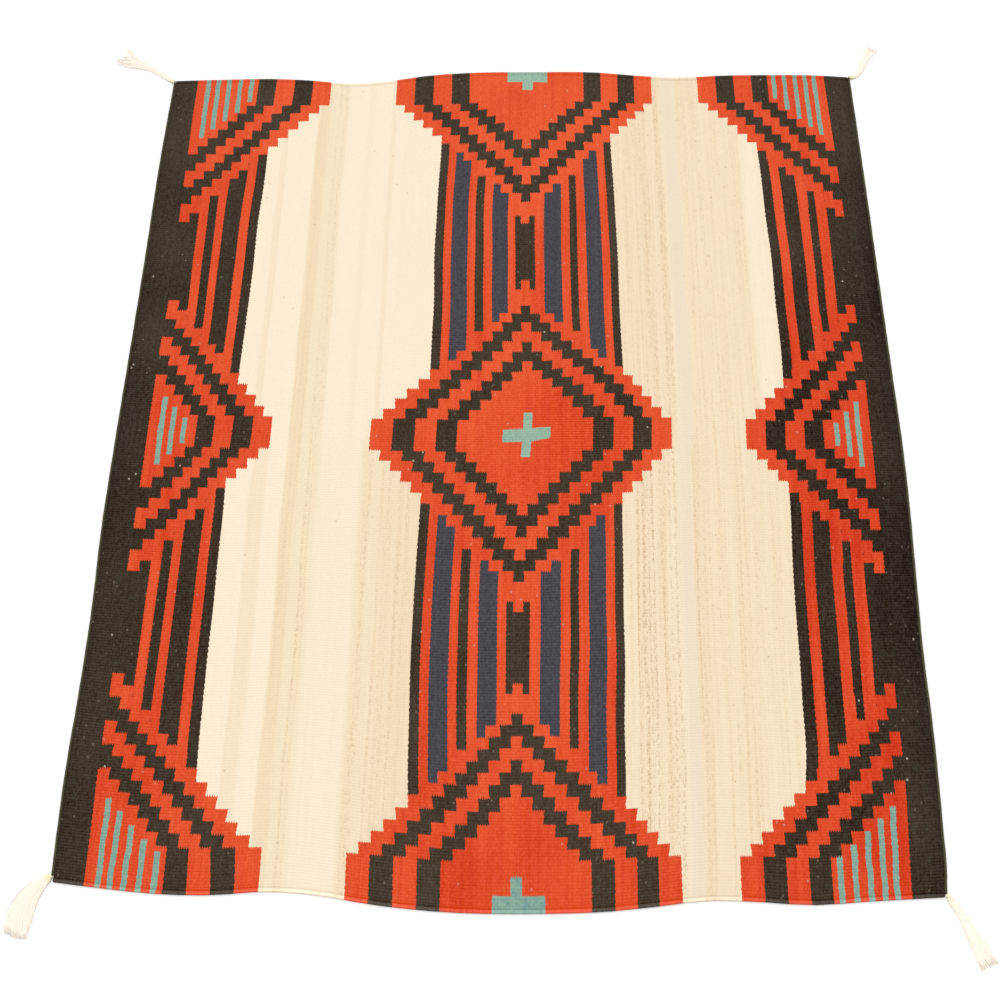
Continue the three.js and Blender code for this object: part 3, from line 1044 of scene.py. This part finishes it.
def build_tassel(name, outward, knot_y):
    """Loose strands that leave a small wound knot and lie on the floor."""
    edge = left_x if outward < 0 else right_x
    points, faces, strand = [], [], []
    count = 0

    def add(path, radii, sides, chance, along):
        nonlocal count
        points.append(ring_points(path, radii, sides))
        faces.extend(tube_faces(len(path), sides, count))
        data = np.stack([np.full(len(path), chance), along, np.zeros(len(path))], axis=1)
        strand.append(np.repeat(data, sides, axis=0))
        count += len(path) * sides

    for strands, high, places in YARNS[name]:
        places = np.array(places, float)
        reach = np.concatenate([[0], np.cumsum(np.hypot(*np.diff(places[:, :2], axis=0).T))])
        t = np.linspace(0, 1, STRAND_STEPS)
        lines = [smooth_line(list(zip(reach / reach[-1], places[:, k]))) for k in range(3)]

        # The inner strands lie so close that they are drawn as one flat bundle
        x, y, half = (line(t * BUNDLE_LONG) for line in lines)
        ahead = heading(x, y)
        turn = 2 * math.pi * (np.arange(BUNDLE_SIDES) + 0.5) / BUNDLE_SIDES
        wide = half[:, None] * (BUNDLE_WIDE * np.clip((1 - t) * 6, 0.3, 1))[:, None] * np.cos(turn)
        thick = BUNDLE_HIGH * np.clip(t * 8, 0.4, 1) * np.clip((1 - t) * 3, 0.1, 1)
        up = 0.15 + thick[:, None] * np.maximum(0, np.sin(turn))
        ring = [x[:, None] - ahead[:, 1:] * wide, y[:, None] + ahead[:, :1] * wide, up]
        points.append(np.stack(ring, axis=2).reshape(-1, 3))
        faces.extend(tube_faces(STRAND_STEPS, BUNDLE_SIDES, count))
        data = np.stack([np.full(STRAND_STEPS, 0.5), t * BUNDLE_LONG, 0 * t], axis=1)
        strand.append(np.repeat(data, BUNDLE_SIDES, axis=0))
        count += STRAND_STEPS * BUNDLE_SIDES

        for i in range(strands):
            # Its length, its place in the lock, how it waves, and how it lies on the bundle below it
            loose = i % LOOSE_EVERY == 0
            length = 1 - 0.22 * rng.uniform(0.0, 1.0) ** 2 - (0.1 if loose and rng.random() < 0.5 else 0)
            place = rng.uniform(-1, 1) * (1.12 if loose else 1.0)
            at = t * min(1.0, length + place * TIP_SLANT[name])
            x, y, half = (line(at) for line in lines)
            ahead = heading(x, y)
            place = place * 0.9 + 0.1 * round(place * 3) / 3
            phase, waves = rng.uniform(0, 6.28), rng.uniform(5, 11)
            swing = (0.45 if loose else 0.16) * np.sin(at * waves + phase)
            off = place * half + swing * np.minimum(1, at * 4) * half * 0.3
            x = x - ahead[:, 1] * off
            y = y + ahead[:, 0] * off
            radius = LOOSE_RADIUS if loose else rng.uniform(0.26, 0.4)
            crown = math.sqrt(max(0.0, 1 - min(1.0, place * place)))
            bundle = BUNDLE_HIGH * crown * np.clip(4.5 * (BUNDLE_LONG - at), 0, 1)
            lift = bundle + rng.uniform(0, 0.25) * high * crown * (1 - 0.75 * at)
            start_high = 2.6 + rng.uniform(-1.2, 1.2)
            settle = np.clip(at * 5, 0, 1) ** 0.7
            z = radius + 0.05 + start_high * (1 - settle) + lift * settle
            radii = radius * np.clip((1 - t) * 8, 0.5, 1)
            add(np.stack([x, y, z], axis=1), radii, STRAND_SIDES, rng.random(), at)

    # The knot: two or three turns of the same yarn round the tassel's root
    first, second = YARNS[name][0][2][0], YARNS[name][0][2][1]
    ahead = np.array([second[0] - first[0], second[1] - first[1]], float)
    ahead /= np.hypot(*ahead)
    middle = np.array([edge(np.array(float(knot_y))) - outward * 0.6, knot_y])
    turn = np.linspace(0, KNOT_TURNS * 2 * math.pi, KNOT_STEPS)
    forward = np.linspace(-1.2, 2.4, KNOT_STEPS)
    x = middle[0] + ahead[0] * forward - ahead[1] * KNOT_WIDE * np.cos(turn)
    y = middle[1] + ahead[1] * forward + ahead[0] * KNOT_WIDE * np.cos(turn)
    z = KNOT_HIGH + KNOT_WIDE * np.sin(turn)
    path = np.stack([x, y, z], axis=1)
    add(path, np.full(KNOT_STEPS, KNOT_YARN), KNOT_SIDES, 0.5, np.zeros(KNOT_STEPS))
    return mesh_object(name + "_strands", np.concatenate(points), faces, np.concatenate(strand))


def tassel_wool():
    m = Maker("tassel_wool", roughness=0.95, specular=0.2)
    chance, along, _ = m.attribute("strand")
    colour = m.mix(chance, tone(255, 248, 236), tone(255, 242, 225))
    root = (along * -9.0 + 1.0).op("MAXIMUM", 0.0)
    colour = m.mix(root, colour, tone(248, 239, 204))
    m.shader.inputs["Sheen Weight"].default_value = 0.2
    return m.finish(colour)


def cord_wool():
    m = Maker("cord_wool", roughness=0.95, specular=0.15)
    place, turn, _ = m.attribute("strand")
    grain = m.noise(place * 0.9, turn * 0.6, 0.0, detail=3.0)
    colour = m.mix(grain, tone(66, 62, 44, LIGHT), tone(98, 92, 66, LIGHT))
    return m.finish(colour, m.noise(place * 2.0, turn * 3.0, 1.0))


cord_material = cord_wool()
for name, edge, outward in (("end_cord_left", left_x, -1), ("end_cord_right", right_x, 1)):
    ends = [y for side, y in KNOTS.values() if side == outward]
    cord = build_end_cord(name + "_plies", edge, outward, min(ends) + 1.5, max(ends) - 1.5)
    cord.data.materials.append(cord_material)
    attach(cord, "root")
    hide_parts(name)

tassel_material = tassel_wool()
for name, (outward, knot_y) in KNOTS.items():
    tassel = build_tassel(name, outward, knot_y)
    tassel.data.materials.append(tassel_material)
    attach(tassel, "root")
    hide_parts(name)

# Floor and light, in metres

FLOOR_RADIUS = 14
FLOOR_SIDES = 64
FLOOR_UP = -0.0004


def plain_floor():
    mesh = bpy.data.meshes.new("floor")
    turns = [2 * math.pi * i / FLOOR_SIDES for i in range(FLOOR_SIDES)]
    ring = [(FLOOR_RADIUS * math.cos(a), FLOOR_RADIUS * math.sin(a), FLOOR_UP) for a in turns]
    mesh.from_pydata(ring, [], [tuple(range(FLOOR_SIDES))])
    mesh.update()
    floor = bpy.data.objects.new("floor", mesh)
    bpy.context.scene.collection.objects.link(floor)
    material = bpy.data.materials.new("pale_floor")
    material.use_nodes = True
    shader = material.node_tree.nodes["Principled BSDF"]
    shader.inputs["Base Color"].default_value = (0.92, 0.92, 0.92, 1)
    shader.inputs["Roughness"].default_value = 0.9
    shader.inputs["Specular IOR Level"].default_value = 0.1
    mesh.materials.append(material)


plain_floor()

world = bpy.data.worlds.new("studio")
world.use_nodes = True
world.node_tree.nodes["Background"].inputs[0].default_value = (1.0, 1.0, 1.0, 1)
world.node_tree.nodes["Background"].inputs[1].default_value = 0.6
bpy.context.scene.world = world


def soft_sun(name, towards, strength, degrees):
    data = bpy.data.lights.new(name, "SUN")
    data.energy = strength
    data.angle = math.radians(degrees)
    lamp = bpy.data.objects.new(name, data)
    lamp.rotation_mode = "QUATERNION"
    lamp.rotation_quaternion = Vector(towards).to_track_quat("-Z", "Y")
    bpy.context.scene.collection.objects.link(lamp)


soft_sun("key", (0.16, -0.25, -1.0), 1.85, 60)
